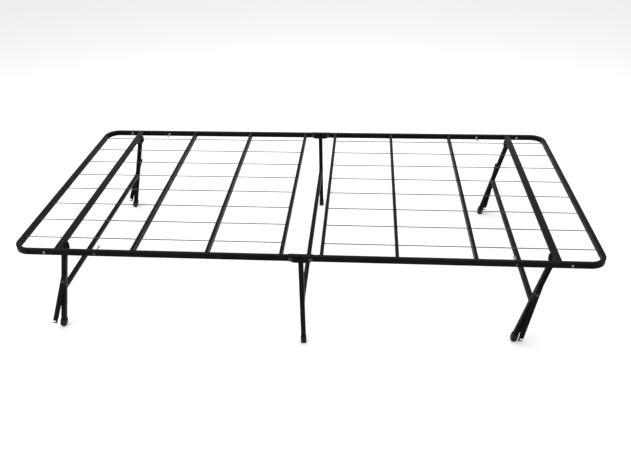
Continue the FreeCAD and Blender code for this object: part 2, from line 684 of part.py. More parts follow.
def brace(end, row):
    """A hooked brace: a pressed channel whose web runs on past the flanges as a notched hook."""
    name = f"{END_NAMES[end]}_brace_{ROW_NAMES[row]}"
    half = "(brace_width/2)"
    slot = "(stud_diameter/2 + stud_clearance)"
    tip = f"({BRACE_REACH} + {slot} + hook_lip)"
    xs = (f"-{half}", half)
    shell = block(f"{name}_shell", xs, between(row, BRACE_IN, BRACE_OUT), (f"-{tip}", "brace_tail"))
    soft = rounded(f"{name}_soft", shell, "brace_corner", lambda edge, box: along(edge, 1))
    flange_end = f"({BRACE_REACH} - flange_setback)"
    below_web = between(row, f"{BRACE_IN} - {BEYOND}", WEB_IN)
    trough = block(f"{name}_trough", (f"brace_wall - {half}", f"{half} - brace_wall"), below_web,
                   (f"-{tip} - {BEYOND}", f"brace_tail + {BEYOND}"))
    flat = block(f"{name}_flat", (f"-{half} - {BEYOND}", f"{half} + {BEYOND}"), below_web,
                 (f"-{tip} - {BEYOND}", f"-{flange_end}"))
    through = between(row, f"{BRACE_IN} - 2*{BEYOND}", f"{BRACE_OUT} + {BEYOND}")
    seat = rod_y(f"{name}_seat", slot, "0", through, f"-{BRACE_REACH}")
    mouth = block(f"{name}_mouth", between(end, "0", f"{half} + {BEYOND}"), through,
                  (f"-{BRACE_REACH} - {slot}", f"-{BRACE_REACH} + {slot}"))
    hole = rod_y(f"{name}_hole", "pin_diameter/2 + running_gap", "0", through, "0")
    item = cut(f"{name}_pressed", soft, trough, flat, seat, mouth, hole)
    place(item, f"{times(end, PIVOT_X)} - brace_down*sin(leg_tilt)", times(row, LEG_Y),
          f"{PIVOT_Z} - brace_down*cos(leg_tilt)", brace_lean(end))
    keep(item, name)


def brace_rivet(end, row):
    """A shoulder rivet through the leg's outer wall, which the brace turns on."""
    name = f"{END_NAMES[end]}_brace_rivet_{ROW_NAMES[row]}"
    spans = [("shank", "pin_diameter", "leg_size/2 - leg_wall - pin_tail_height", f"{BRACE_OUT} + pin_play"),
             ("shoulder", "pin_shoulder", "leg_size/2", f"{WEB_IN} - pin_play"),
             ("head", "pin_head", f"{BRACE_OUT} + pin_play", f"{BRACE_OUT} + pin_play + pin_head_height"),
             ("tail", "pin_tail", "leg_size/2 - leg_wall - pin_tail_height", "leg_size/2 - leg_wall")]
    steps = [rod_y(f"{name}_{kind}", f"{wide}/2", "0",
                   between(row, f"{LEG_Y} + {low}", f"{LEG_Y} + {high}"), "-brace_down")
             for kind, wide, low, high in spans]
    keep(on_leg_frame(fuse(f"{name}_whole", *steps), end), name)


# ---------------------------------------------------------------- assembly

for end in (HEAD, FOOT):
    rim_tube(end)
    for kind, x, width, height in slat_places():
        slat(end, kind, x, width, height)
    support_wires(end)
    brace_studs(end)
    leg_crossbar(end)
    for row in (FRONT, REAR):
        leg(end, row)
        leg_cap(end, row)
        leg_bracket(end, row)
        pivot_bolt(end, row)
        brace(end, row)
        brace_rivet(end, row)

for row in (FRONT, REAR):
    hinge_saddle(row)
    hinge_rivets(row)
    stand_leg(row)
    stand_cap(row)
stand_crossbar()

doc.recompute()

for item in doc.Objects:
    if {"Invalid", "Error"} & set(item.State):
        raise RuntimeError(f"{item.Label} did not compute: {item.State}")
for item in parts:
    if item.Shape.isNull() or not item.Shape.isValid() or not item.Shape.Solids:
        raise RuntimeError(f"{item.Label} has no valid solid")

os.makedirs("parts", exist_ok=True)
for item in parts:
    item.Shape.exportStep(f"parts/{item.Label}.step")
print(f"{len(parts)} sub-parts, {sum(len(item.Shape.Solids) for item in parts)} solids")
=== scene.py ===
"""Finishes, fittings, lights and camera for a folding metal bed frame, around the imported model.

The deck is two C-shaped halves of bent rail with cross slats and support wires.  They fold about
the rivets of two saddles on a centre stand, and each half carries a folding leg frame that two
hooked braces lock.  Everything is in metres, +X runs from the head end to the foot end, the front
side is -Y and the floor is at zero.
"""

import json
import logging
import math
from dataclasses import dataclass
from enum import Enum
from typing import Sequence

import bmesh
import bpy
from mathutils import Matrix, Vector, noise


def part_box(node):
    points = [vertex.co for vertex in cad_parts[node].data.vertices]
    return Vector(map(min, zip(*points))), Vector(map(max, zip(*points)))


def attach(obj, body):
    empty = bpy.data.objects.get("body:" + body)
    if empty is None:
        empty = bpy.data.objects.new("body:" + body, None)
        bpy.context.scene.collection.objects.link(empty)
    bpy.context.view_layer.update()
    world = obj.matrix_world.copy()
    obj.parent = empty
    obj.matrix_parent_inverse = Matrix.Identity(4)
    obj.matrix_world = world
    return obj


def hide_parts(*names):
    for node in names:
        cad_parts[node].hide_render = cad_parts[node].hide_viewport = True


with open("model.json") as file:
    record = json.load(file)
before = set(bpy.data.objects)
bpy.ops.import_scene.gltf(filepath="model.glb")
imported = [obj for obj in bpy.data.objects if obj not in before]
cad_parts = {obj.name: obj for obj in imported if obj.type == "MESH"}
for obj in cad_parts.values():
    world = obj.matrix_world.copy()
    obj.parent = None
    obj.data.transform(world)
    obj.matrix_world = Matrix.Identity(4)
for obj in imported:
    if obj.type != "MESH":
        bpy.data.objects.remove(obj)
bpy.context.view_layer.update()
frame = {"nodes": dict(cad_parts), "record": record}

MM = 0.001
MERGE = 0.00001
Colour = tuple[float, float, float]
Place = tuple[float, float, float]
Span = tuple[float, float]
FULL: Span = (0.0, 1.0)
CLOUD_SPAN: Span = (0.3, 0.7)
UPWARD: Span = (0.35, 0.95)
HEX_CROWN = 0.95
HEX_CHAMFER = math.radians(30.0)
SHARP_EDGE = math.radians(38.0)
WANDER_FREQUENCY = 420.0
KNOB_CLEAR = 8 * MM
RIM_REST = 0.35
log = logging.getLogger("bed_frame")


class End(Enum):
    """An end of the bed, with its direction along X."""

    HEAD = -1
    FOOT = 1

    @property
    def word(self) -> str:
        """The end's name, as its nodes carry it."""
        return self.name.lower()


class Row(Enum):
    """A side of the bed, with its direction along Y."""

    FRONT = -1
    REAR = 1

    @property
    def word(self) -> str:
        """The side's name, as its nodes carry it."""
        return self.name.lower()


class Slot(Enum):
    """The record's material slots."""

    PAINT = "black_powder_coat"
    WIRE = "wire_coat"
    PLASTIC = "black_plastic"
    HARDWARE = "black_hardware"
    ZINC = "bright_zinc"


# ---------------------------------------------------------------- finishes


class Shader:
    """A material being built, with short ways to add the nodes that its finish needs."""

    def __init__(self, name: str, roughness: float, gloss: float) -> None:
        """Starts a material.

        Args:
            name: the material's name.
            roughness: the surface's roughness where nothing varies it.
            gloss: the surface's specular level.
        """
        self.material = bpy.data.materials.new(name)
        self.material.use_nodes = True
        self.tree = self.material.node_tree
        self.surface = self.tree.nodes["Principled BSDF"]
        self.surface.inputs["Roughness"].default_value = roughness
        self.surface.inputs["Specular IOR Level"].default_value = gloss
        self.where = self.tree.nodes.new("ShaderNodeTexCoord")

    def join(self, source: bpy.types.NodeSocket, target: bpy.types.NodeSocket) -> None:
        """Links two sockets."""
        self.tree.links.new(source, target)

    def feed(self, name: str, value: bpy.types.NodeSocket) -> None:
        """Links a value to one of the surface's own inputs."""
        self.join(value, self.surface.inputs[name])

    def cloud(self, pitch: float, detail: float,
              stretch: Place = (1.0, 1.0, 1.0)) -> bpy.types.NodeSocket:
        """Noise of a real size.

        Args:
            pitch: the size of its patches, in metres.
            detail: how many finer layers it has.
            stretch: how many times finer it is along each axis.

        Returns:
            Its value, from 0 to 1.
        """
        mapping = self.tree.nodes.new("ShaderNodeMapping")
        mapping.inputs["Scale"].default_value = stretch
        self.join(self.where.outputs["Object"], mapping.inputs["Vector"])
        texture = self.tree.nodes.new("ShaderNodeTexNoise")
        texture.inputs["Scale"].default_value = 1.0 / pitch
        texture.inputs["Detail"].default_value = detail
        self.join(mapping.outputs["Vector"], texture.inputs["Vector"])
        return texture.outputs["Fac"]

    def part(self, output: str, axis: str) -> bpy.types.NodeSocket:
        """One axis of a texture coordinate, such as Object or Normal."""
        split = self.tree.nodes.new("ShaderNodeSeparateXYZ")
        self.join(self.where.outputs[output], split.inputs["Vector"])
        return split.outputs[axis]

    def facing_up(self) -> bpy.types.NodeSocket:
        """How far the surface faces the ceiling when the bed stands, from 0 to 1."""
        return self.spread(self.part("Normal", "Z"), UPWARD, FULL)

    def spread(self, value: bpy.types.NodeSocket, source: Span, target: Span) -> bpy.types.NodeSocket:
        """Maps a value from one range to another, held at the range's ends."""
        node = self.tree.nodes.new("ShaderNodeMapRange")
        node.inputs["From Min"].default_value, node.inputs["From Max"].default_value = source
        node.inputs["To Min"].default_value, node.inputs["To Max"].default_value = target
        self.join(value, node.inputs["Value"])
        return node.outputs["Result"]

    def product(self, first: bpy.types.NodeSocket,
                second: bpy.types.NodeSocket) -> bpy.types.NodeSocket:
        """One value times another."""
        node = self.tree.nodes.new("ShaderNodeMath")
        node.operation = "MULTIPLY"
        self.join(first, node.inputs[0])
        self.join(second, node.inputs[1])
        return node.outputs["Value"]

    def mix(self, share: bpy.types.NodeSocket, low: Colour | bpy.types.NodeSocket,
            high: Colour) -> bpy.types.NodeSocket:
        """Mixes towards a colour by a share.

        Args:
            share: how much of the high colour shows.
            low: the colour, or a socket that gives it, where the share is 0.
            high: the colour where the share is 1.

        Returns:
            The mixed colour.
        """
        node = self.tree.nodes.new("ShaderNodeMix")
        node.data_type = "RGBA"
        self.join(share, node.inputs["Factor"])
        if isinstance(low, bpy.types.NodeSocket):
            self.join(low, node.inputs[6])
        else:
            node.inputs[6].default_value = (*low, 1.0)
        node.inputs[7].default_value = (*high, 1.0)
        return node.outputs[2]

    def relief(self, height: bpy.types.NodeSocket, depth: float,
               over: bpy.types.NodeSocket | None = None) -> bpy.types.NodeSocket:
        """Bump of a real depth, laid over another bump where one is given."""
        node = self.tree.nodes.new("ShaderNodeBump")
        node.inputs["Strength"].default_value = 1.0
        node.inputs["Distance"].default_value = depth
        self.join(height, node.inputs["Height"])
        if over is not None:
            self.join(over, node.inputs["Normal"])
        return node.outputs["Normal"]


@dataclass(frozen=True)
class PowderCoat:
    """Baked satin powder paint: orange-peel skin, cloudy gloss, and dust specks on the tops towards the
    rear, which also paint the tops lighter and warmer as a painted sheen.
    """

    name: str
    deep: Colour = (0.0030, 0.0030, 0.0031)
    faded: Colour = (0.0056, 0.0055, 0.0054)
    dust: Colour = (0.044, 0.034, 0.020)
    dust_share: Span = (0.10, 0.42)
    dusty_from: Span = (-0.10, 0.48)
    gloss: float = 0.03
    rough: Span = (0.30, 0.46)
    patch_pitch: float = 0.16
    patch_span: Span = (0.35, 0.68)
    speck_pitch: float = 0.022
    speck_span: Span = (0.40, 0.70)
    speck_share: Span = (0.3, 1.0)
    gloss_pitch: float = 0.035
    swell_pitch: float = 9 * MM
    swell_depth: float = 0.05 * MM
    peel_pitch: float = 1.8 * MM
    peel_depth: float = 0.030 * MM

    def make(self) -> bpy.types.Material:
        """Builds the finish."""
        paint = Shader(self.name, self.rough[0], self.gloss)
        patches = paint.spread(paint.cloud(self.patch_pitch, 3.0), self.patch_span, FULL)
        coat = paint.mix(patches, self.deep, self.faded)
        specks = paint.spread(paint.cloud(self.speck_pitch, 6.0), self.speck_span, self.speck_share)
        # Up-facing tops: dust specks, and also a painted sheen that lightens and warms the tops, more so
        # towards the rear (+Y).
        tops_dust_and_sheen = paint.product(specks, paint.facing_up())
        depth = paint.spread(paint.part("Object", "Y"), self.dusty_from, self.dust_share)
        coat = paint.mix(paint.product(tops_dust_and_sheen, depth), coat, self.dust)
        paint.feed("Base Color", coat)
        rough = paint.spread(paint.cloud(self.gloss_pitch, 4.0), CLOUD_SPAN, self.rough)
        paint.feed("Roughness", rough)
        swell = paint.relief(paint.cloud(self.swell_pitch, 1.0), self.swell_depth)
        skin = paint.relief(paint.cloud(self.peel_pitch, 2.0), self.peel_depth, swell)
        paint.feed("Normal", skin)
        return paint.material


@dataclass(frozen=True)
class WireCoat:
    """Drawn wire under a thin grey coat, paler along its top: rubbed wear, and also a painted highlight
    on the up-facing side.
    """

    name: str
    dull: Colour = (0.016, 0.016, 0.017)
    # Colour of the paler top: rubbed wear, and also a painted highlight.
    rubbed: Colour = (0.052, 0.051, 0.049)
    rough: Span = (0.32, 0.5)
    gloss: float = 0.3
    streak_pitch: float = 3 * MM
    streak_span: Span = (0.35, 0.7)
    streak_stretch: Place = (0.06, 1.0, 1.0)
    gloss_pitch: float = 12 * MM
    gloss_stretch: Place = (0.2, 1.0, 1.0)
    drawn_pitch: float = 0.5 * MM
    drawn_stretch: Place = (0.03, 1.0, 1.0)
    drawn_depth: float = 0.02 * MM

    def make(self) -> bpy.types.Material:
        """Builds the finish."""
        coat = Shader(self.name, self.rough[0], self.gloss)
        lines = coat.cloud(self.streak_pitch, 3.0, self.streak_stretch)
        streaks = coat.spread(lines, self.streak_span, FULL)
        # Paler top: rubbed wear, and also a painted highlight where the wire faces up.
        rubbed_and_highlit = coat.product(streaks, coat.facing_up())
        coat.feed("Base Color", coat.mix(rubbed_and_highlit, self.dull, self.rubbed))
        rough = coat.spread(coat.cloud(self.gloss_pitch, 3.0, self.gloss_stretch), CLOUD_SPAN, self.rough)
        coat.feed("Roughness", rough)
        drawn = coat.relief(coat.cloud(self.drawn_pitch, 2.0, self.drawn_stretch), self.drawn_depth)
        coat.feed("Normal", drawn)
        return coat.material


@dataclass(frozen=True)
class MouldedPlastic:
    """Black moulded plastic with a fine spark-eroded grain, scuffed paler near the floor."""

    name: str
    plain: Colour = (0.0040, 0.0040, 0.0042)
    scuffed: Colour = (0.022, 0.021, 0.020)
    rough: Span = (0.42, 0.62)
    gloss: float = 0.14
    scuff_top: float = 12 * MM
    scuff_pitch: float = 2.4 * MM
    scuff_span: Span = (0.48, 0.72)
    gloss_pitch: float = 7 * MM
    grain_pitch: float = 0.4 * MM
    grain_depth: float = 0.025 * MM

    def make(self) -> bpy.types.Material:
        """Builds the finish."""
        plastic = Shader(self.name, self.rough[0], self.gloss)
        low = plastic.spread(plastic.part("Object", "Z"), (0.0, self.scuff_top), (1.0, 0.0))
        marks = plastic.spread(plastic.cloud(self.scuff_pitch, 5.0), self.scuff_span, FULL)
        colour = plastic.mix(plastic.product(marks, low), self.plain, self.scuffed)
        plastic.feed("Base Color", colour)
        rough = plastic.spread(plastic.cloud(self.gloss_pitch, 3.0), CLOUD_SPAN, self.rough)
        plastic.feed("Roughness", rough)
        grain = plastic.relief(plastic.cloud(self.grain_pitch, 3.0), self.grain_depth)
        plastic.feed("Normal", grain)
        return plastic.material


@dataclass(frozen=True)
class BlackSteel:
    """Blackened steel fasteners, with the metal showing where it is rubbed."""

    name: str
    dark: Colour = (0.017, 0.017, 0.018)
    bare: Colour = (0.20, 0.195, 0.185)
    rough: Span = (0.24, 0.42)
    gloss: float = 0.5
    metal: float = 0.75
    rub_pitch: float = 2.2 * MM
    rub_span: Span = (0.5, 0.76)
    rub_share: Span = (0.0, 0.8)
    gloss_pitch: float = 1.3 * MM
    skin_pitch: float = 1.1 * MM
    skin_depth: float = 0.02 * MM

    def make(self) -> bpy.types.Material:
        """Builds the finish."""
        steel = Shader(self.name, self.rough[0], self.gloss)
        steel.surface.inputs["Metallic"].default_value = self.metal
        rubbed = steel.spread(steel.cloud(self.rub_pitch, 5.0), self.rub_span, self.rub_share)
        steel.feed("Base Color", steel.mix(rubbed, self.dark, self.bare))
        rough = steel.spread(steel.cloud(self.gloss_pitch, 3.0), CLOUD_SPAN, self.rough)
        steel.feed("Roughness", rough)
        forged = steel.relief(steel.cloud(self.skin_pitch, 2.0), self.skin_depth)
        steel.feed("Normal", forged)
        return steel.material


@dataclass(frozen=True)
class ZincPlate:
    """Bright zinc plate: pale metal with a faint spangle and duller, faintly bluish patches."""

    name: str
    bright: Colour = (0.46, 0.46, 0.45)
    dulled: Colour = (0.22, 0.225, 0.235)
    rough: Span = (0.20, 0.38)
    gloss: float = 0.5
    patch_pitch: float = 1.6 * MM
    patch_span: Span = (0.42, 0.72)
    gloss_pitch: float = 0.9 * MM
    skin_pitch: float = 0.6 * MM
    skin_depth: float = 0.008 * MM

    def make(self) -> bpy.types.Material:
        """Builds the finish."""
        zinc = Shader(self.name, self.rough[0], self.gloss)
        zinc.surface.inputs["Metallic"].default_value = 1.0
        patches = zinc.spread(zinc.cloud(self.patch_pitch, 4.0), self.patch_span, FULL)
        zinc.feed("Base Color", zinc.mix(patches, self.bright, self.dulled))
        rough = zinc.spread(zinc.cloud(self.gloss_pitch, 3.0), CLOUD_SPAN, self.rough)
        zinc.feed("Roughness", rough)
        zinc.feed("Normal", zinc.relief(zinc.cloud(self.skin_pitch, 2.0), self.skin_depth))
        return zinc.material


class Finishes:
    """One material for each of the record's slots."""

    def __init__(self) -> None:
        """Builds the finishes."""
        self.by_slot: dict[Slot, bpy.types.Material] = {
            Slot.PAINT: PowderCoat("satin_black_powder_coat").make(),
            Slot.WIRE: WireCoat("grey_coated_wire").make(),
            Slot.PLASTIC: MouldedPlastic("black_moulded_plastic").make(),
            Slot.HARDWARE: BlackSteel("blackened_steel").make(),
            Slot.ZINC: ZincPlate("bright_zinc_plate").make(),
        }

    def dress(self, slot: Slot, *nodes: str) -> None:
        """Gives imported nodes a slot's finish."""
        for name in nodes:
            node = frame["nodes"][name]
            if not node.material_slots:
                node.data.materials.append(None)
            for place in node.material_slots:
                place.material = self.by_slot[slot]
            log.info("dressed %s in %s", name, self.by_slot[slot].name)


# ---------------------------------------------------------------- shapes


def turned(profile: Sequence[tuple[float, float]], facets: int) -> bmesh.types.BMesh:
    """Turns an outline about Z.

    Args:
        profile: the outline as pairs of a radius and a height, from one end of the axis to the other.
        facets: the steps in the full turn.

    Returns:
        The turned shape, standing on its axis.
    """
    shape = bmesh.new()
    line = [shape.verts.new((radius, 0.0, height)) for radius, height in profile]
    edges = [shape.edges.new(pair) for pair in zip(line, line[1:])]
    bmesh.ops.spin(shape, geom=line + edges, cent=(0.0, 0.0, 0.0), axis=(0.0, 0.0, 1.0),
                   dvec=(0.0, 0.0, 0.0), angle=math.tau, steps=facets, use_merge=True)
    return shape


def dome(radius: float, height: float, base: float, steps: int = 7) -> list[tuple[float, float]]:
    """The outline of a round head that rises from a short upright rim.

    Args:
        radius: the head's radius.
        height: how far it stands from its seat, or below it if negative.
        base: where its seat is along the axis.
        steps: the steps of its curve.

    Returns:
        The outline from the seat's rim to the middle of the crown.
    """
    rim = 0.3 * height
    crown = abs(height - rim)
    ball = (radius ** 2 + crown ** 2) / (2.0 * crown)
    widest = math.asin(radius / ball)
    points = [(radius, base)]
    for n in range(steps + 1):
        angle = widest * (1.0 - n / steps)
        rise = ball * math.cos(angle) - (ball - crown)
        points.append((ball * math.sin(angle), base + rim + math.copysign(rise, height)))
    return points


def hex_blank(across_flats: float, height: float, facets: int = 48) -> bmesh.types.BMesh:
    """A hexagonal head or nut that stands on Z, its top corners turned off in a cone.

    Args:
        across_flats: the width over two opposite flats.
        height: how tall it is.
        facets: the points round its outline, a multiple of twelve.

    Returns:
        The shape.
    """
    sixth = math.pi / 3.0
    inner = HEX_CROWN * across_flats / 2.0
    shape = bmesh.new()
    bmesh.ops.create_circle(shape, cap_ends=True, radius=inner, segments=facets)
    floor = shape.faces[:]
    for vert in shape.verts:
        turn = math.atan2(vert.co.y, vert.co.x) % sixth - sixth / 2.0
        vert.co *= across_flats / 2.0 / math.cos(turn) / inner
    walls = bmesh.ops.extrude_face_region(shape, geom=floor, use_keep_orig=True)
    for item in walls["geom"]:
        if isinstance(item, bmesh.types.BMVert):
            item.co.z = height - (item.co.length - inner) * math.tan(HEX_CHAMFER)
    top = next(item for item in walls["geom"] if isinstance(item, bmesh.types.BMFace))
    crown = bmesh.ops.extrude_face_region(shape, geom=[top])
    bmesh.ops.delete(shape, geom=[top], context="FACES_ONLY")
    for item in crown["geom"]:
        if isinstance(item, bmesh.types.BMVert):
            item.co.xy = item.co.xy.normalized() * inner
            item.co.z = height
    return shape


def collar(width: float, depth: float, height: float, corner: float) -> bmesh.types.BMesh:
    """A rounded band that lies round a square cup, centred on the origin.

    Args:
        width: its size along X.
        depth: its size along Y.
        height: its size along Z.
        corner: the radius of its four upright corners.

    Returns:
        The band, with soft top and bottom edges.
    """
    shape = bmesh.new()
    bmesh.ops.create_cube(shape, size=1.0, matrix=Matrix.Diagonal((width, depth, height, 1.0)))
    upright = [edge for edge in shape.edges if abs(edge.verts[0].co.z - edge.verts[1].co.z) > MERGE]
    bmesh.ops.bevel(shape, geom=upright, offset=corner, affect="EDGES", segments=5, profile=0.5,
                    material=-1)
    level = [edge for edge in shape.edges if abs(edge.verts[0].co.z - edge.verts[1].co.z) < MERGE]
    bmesh.ops.bevel(shape, geom=level, offset=0.35 * height, affect="EDGES", segments=3, profile=0.5,
                    material=-1)
    return shape


def along(start: Vector, direction: Vector) -> Matrix:
    """The place of a shape that stands on Z, moved to a point and leant along a direction."""
    turn = Vector((0.0, 0.0, 1.0)).rotation_difference(direction).to_matrix().to_4x4()
    return Matrix.Translation(start) @ turn


class Piece:
    """A piece put together from shapes, which becomes one object in the end."""

    def __init__(self, name: str) -> None:
        """Starts an empty piece."""
        self.name = name
        self.mesh = bmesh.new()

    def add(self, shape: bmesh.types.BMesh, place: Matrix, ripple: float = 0.0) -> None:
        """Puts a shape in its place.

        Args:
            shape: the shape, which is used up.
            place: where it goes.
            ripple: how far its surface wanders, in metres.
        """
        bmesh.ops.remove_doubles(shape, verts=shape.verts, dist=MERGE)
        bmesh.ops.transform(shape, matrix=place, verts=shape.verts)
        if ripple:
            for vert in shape.verts:
                vert.co += noise.noise_vector(vert.co * WANDER_FREQUENCY) * ripple
        bmesh.ops.recalc_face_normals(shape, faces=shape.faces)
        carrier = bpy.data.meshes.new(self.name)
        shape.to_mesh(carrier)
        shape.free()
        self.mesh.from_mesh(carrier)
        bpy.data.meshes.remove(carrier)

    def finish(self, body: str, slot: Slot, finishes: Finishes, stands_for: Sequence[str] = ()) -> None:
        """Makes the object, gives it its finish and ties it to its body.

        Args:
            body: the body that it rides on.
            slot: the slot that its finish comes from.
            finishes: the materials.
            stands_for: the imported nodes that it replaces.
        """
        data = bpy.data.meshes.new(self.name)
        self.mesh.to_mesh(data)
        self.mesh.free()
        for face in data.polygons:
            face.use_smooth = True
        data.set_sharp_from_angle(angle=SHARP_EDGE)
        data.materials.append(finishes.by_slot[slot])
        piece = bpy.data.objects.new(self.name, data)
        bpy.context.scene.collection.objects.link(piece)
        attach(piece, body)
        if stands_for:
            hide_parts(*stands_for)
        log.info("made %s on %s: %d faces", self.name, body, len(data.polygons))


@dataclass(frozen=True)
class WeldRun:
    """The look of a hand-laid weld: how thick it is and how close its ripples lie."""

    radius: float = 2.0 * MM
    ripple: float = 1.5 * MM
    facets: int = 10
    wander: float = 0.22 * MM

    def lay(self, piece: Piece, start: Vector, end: Vector) -> None:
        """Lays a run of weld between two points.

        Args:
            piece: the piece that it becomes part of.
            start: one end of the run.
            end: the other end.
        """
        run = end - start
        count = max(3, round(run.length / self.ripple))
        step = run.length / count
        profile = [(0.0, -0.35 * self.radius), (0.55 * self.radius, -0.2 * self.radius)]
        for n in range(count):
            swell = 1.0 if 0 < n < count - 1 else 0.9
            profile.append((0.84 * swell * self.radius, n * step))
            profile.append((swell * self.radius, (n + 0.6) * step))
        profile.append((0.55 * self.radius, run.length + 0.2 * self.radius))
        profile.append((0.0, run.length + 0.35 * self.radius))
        piece.add(turned(profile, self.facets), along(start, run), self.wander)

    def ring(self, piece: Piece, place: Matrix, half_width: float, half_depth: float) -> None:
        """Lays four runs round a square tube's end.

        Args:
            piece: the piece that they become part of.
            place: the tube's end, with the tube along Y.
            half_width: half of the tube's size along X.
            half_depth: half of the tube's size along Z.
        """
        corners = [Vector((x * half_width, 0.0, z * half_depth))
                   for x, z in ((1, 1), (-1, 1), (-1, -1), (1, -1))]
        for first, second in zip(corners, corners[1:] + corners[:1]):
            pull = (second - first).normalized() * self.radius * 0.6
            self.lay(piece, place @ (first + pull), place @ (second - pull))


# ---------------------------------------------------------------- places


def middle(node: str) -> Vector:
    """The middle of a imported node's box."""
    low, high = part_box(node)
    return (low + high) / 2.0


def cross_axis(node: str) -> Vector:
    """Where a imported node's axis, along Y, meets the bed's middle plane."""
    spot = middle(node)
    spot.y = 0.0
    return spot


def reach(node: str, row: Row) -> Span:
    """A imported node's nearest and farthest distance from the bed's middle plane, on its own side."""
    low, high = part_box(node)
    return (low.y, high.y) if row is Row.REAR else (-high.y, -low.y)


def headboard_holes(end: End, row: Row) -> tuple[Vector, Vector]:
    """The middles of a side rail's two headboard holes.

    Args:
        end: the end of the bed.
        row: the side of the bed.

    Returns:
        The hole nearer the end of the bed, then the one nearer the leg slat.
    """
    name = f"{end.word}_board_holes_{row.word}"
    mount = next(mount for mount in frame["record"]["mounts"] if mount["name"] == name)
    centre = Vector(mount["pos_m"])
    half = Vector((end.value * mount["dims"]["spacing_x_mm"] * MM / 2.0, 0.0, 0.0))
    return centre + half, centre - half


# ---------------------------------------------------------------- sub-assemblies


@dataclass
class DeckHalf:
    """One half of the deck: the bent rail, its slats and wires, the leg brackets, studs and bolts."""

    end: End
    finishes: Finishes
    weld: WeldRun = WeldRun()
    stud_facets: int = 32
    stud_shank: float = 3.0 * MM
    stud_sink: float = 0.5 * MM
    stud_end: Span = (0.93, 0.8)
    weld_inset: float = 2.5 * MM
    weld_top_gap: float = 1.5 * MM
    thread_pitch: float = 1.25 * MM
    thread_root: float = 0.6
    thread_flank: Span = (0.15, 0.6)
    thread_share: float = 0.55
    bolt_radius: float = 4.0 * MM
    bolt_facets: int = 28
    bolt_sink: float = 0.2 * MM
    washer_share: Span = (0.47, 0.49)
    washer_height: float = 0.5 * MM
    washer_facets: int = 48
    head_seat: float = 0.4 * MM
    insert_flange: float = 3.9 * MM
    insert_bore: float = 2.5 * MM
    insert_body: float = 3.4 * MM
    insert_proud: float = 0.25 * MM
    insert_bevel: float = 0.2 * MM

    def __post_init__(self) -> None:
        """Works out the names that its methods share."""
        self.tag = self.end.word
        self.body = f"{self.tag}_half"
        self.slats = [f"{self.tag}_slat_{n}" for n in (1, 2, 3)]
        self.leg_slat = f"{self.tag}_leg_slat"

    def build(self) -> None:
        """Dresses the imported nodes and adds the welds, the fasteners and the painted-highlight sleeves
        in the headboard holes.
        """
        brackets = [f"{self.tag}_leg_bracket_{row.word}" for row in Row]
        self.finishes.dress(Slot.PAINT, f"{self.tag}_rim_tube", *self.slats, self.leg_slat, *brackets)
        self.finishes.dress(Slot.WIRE, f"{self.tag}_support_wires")
        self.welds()
        self.studs()
        # Painted highlight: bright zinc sleeves in the headboard holes.
        self.inserts()
        for row in Row:
            self.pivot_bolt(row)
            self.pivot_nut(row)

    def welds(self) -> None:
        """Lays the welds of the slats to the rails and of the brackets under the leg slat."""
        piece = Piece(f"{self.tag}_deck_welds")
        rail_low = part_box(f"{self.tag}_rim_tube")[0].z
        for name in (*self.slats, self.leg_slat):
            low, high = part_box(name)
            foot = max(low.z, rail_low) + self.weld.radius
            for y in (low.y, high.y):
                for x in (low.x, high.x):
                    self.weld.lay(piece, Vector((x, y, foot)), Vector((x, y, high.z - self.weld_top_gap)))
        low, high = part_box(self.leg_slat)
        inset = self.weld_inset
        for y in (low.y, high.y):
            self.weld.lay(piece, Vector((low.x + inset, y, low.z)), Vector((high.x - inset, y, low.z)))
        for row in Row:
            low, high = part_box(f"{self.tag}_leg_bracket_{row.word}")
            for y in (low.y, high.y):
                self.weld.lay(piece, Vector((low.x + inset, y, high.z)),
                              Vector((high.x - inset, y, high.z)))
        piece.finish(self.body, Slot.PAINT, self.finishes)

    def studs(self) -> None:
        """Turns the headed studs that the braces hook on."""
        node = f"{self.tag}_brace_studs"
        piece = Piece(f"{self.tag}_turned_studs")
        low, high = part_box(node)
        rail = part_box(f"{self.tag}_rim_tube")[1].y
        inner_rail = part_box(self.leg_slat)[1].y
        head = high.y - rail
        radius = (high.x - low.x) / 2.0
        shank = self.stud_shank
        knob_out = stud_knob(node, inner_rail)
        profile = list(reversed(dome(radius, -head, knob_out)))
        profile += [(shank, knob_out), (shank, inner_rail - head),
                    (self.stud_end[0] * radius, inner_rail - head),
                    (radius, inner_rail - self.stud_end[1] * head), (radius, inner_rail),
                    (0.0, inner_rail)]
        heads = Piece(f"{self.tag}_stud_heads")
        for row in Row:
            axis = Vector((0.0, row.value, 0.0))
            start = Vector(((low.x + high.x) / 2.0, 0.0, (low.z + high.z) / 2.0))
            piece.add(turned(profile, self.stud_facets), along(start, axis))
            cap = [(0.0, rail - self.stud_sink), (radius, rail - self.stud_sink),
                   *dome(radius, head, rail)]
            heads.add(turned(cap, self.stud_facets), along(start, axis))
        piece.finish(self.body, Slot.ZINC, self.finishes, [node])
        heads.finish(self.body, Slot.HARDWARE, self.finishes)

    def inserts(self) -> None:
        """Turns the flanged sleeves that line the headboard holes nearer the leg slat: bright zinc that
        is a painted highlight, standing in for the light seen at these holes.
        """
        piece = Piece(f"{self.tag}_hole_inserts")
        bore, flange, bevel = self.insert_bore, self.insert_flange, self.insert_bevel
        for row in Row:
            edge = reach(f"{self.tag}_rim_tube", row)[1]
            centre = headboard_holes(self.end, row)[1]
            rail_face = edge - abs(centre.y)
            face = rail_face + self.insert_proud
            outline = [(bore, face - bevel), (bore + bevel, face), (flange - bevel, face),
                       (flange, face - bevel), (flange, rail_face), (self.insert_body, rail_face)]
            outline += [(radius, -height) for radius, height in reversed(outline)]
            piece.add(turned(outline + outline[:1], self.stud_facets),
                      along(centre, Vector((0.0, 1.0, 0.0))))
        # Bright zinc here is a painted highlight for the light seen at the headboard holes.
        piece.finish(self.body, Slot.ZINC, self.finishes)

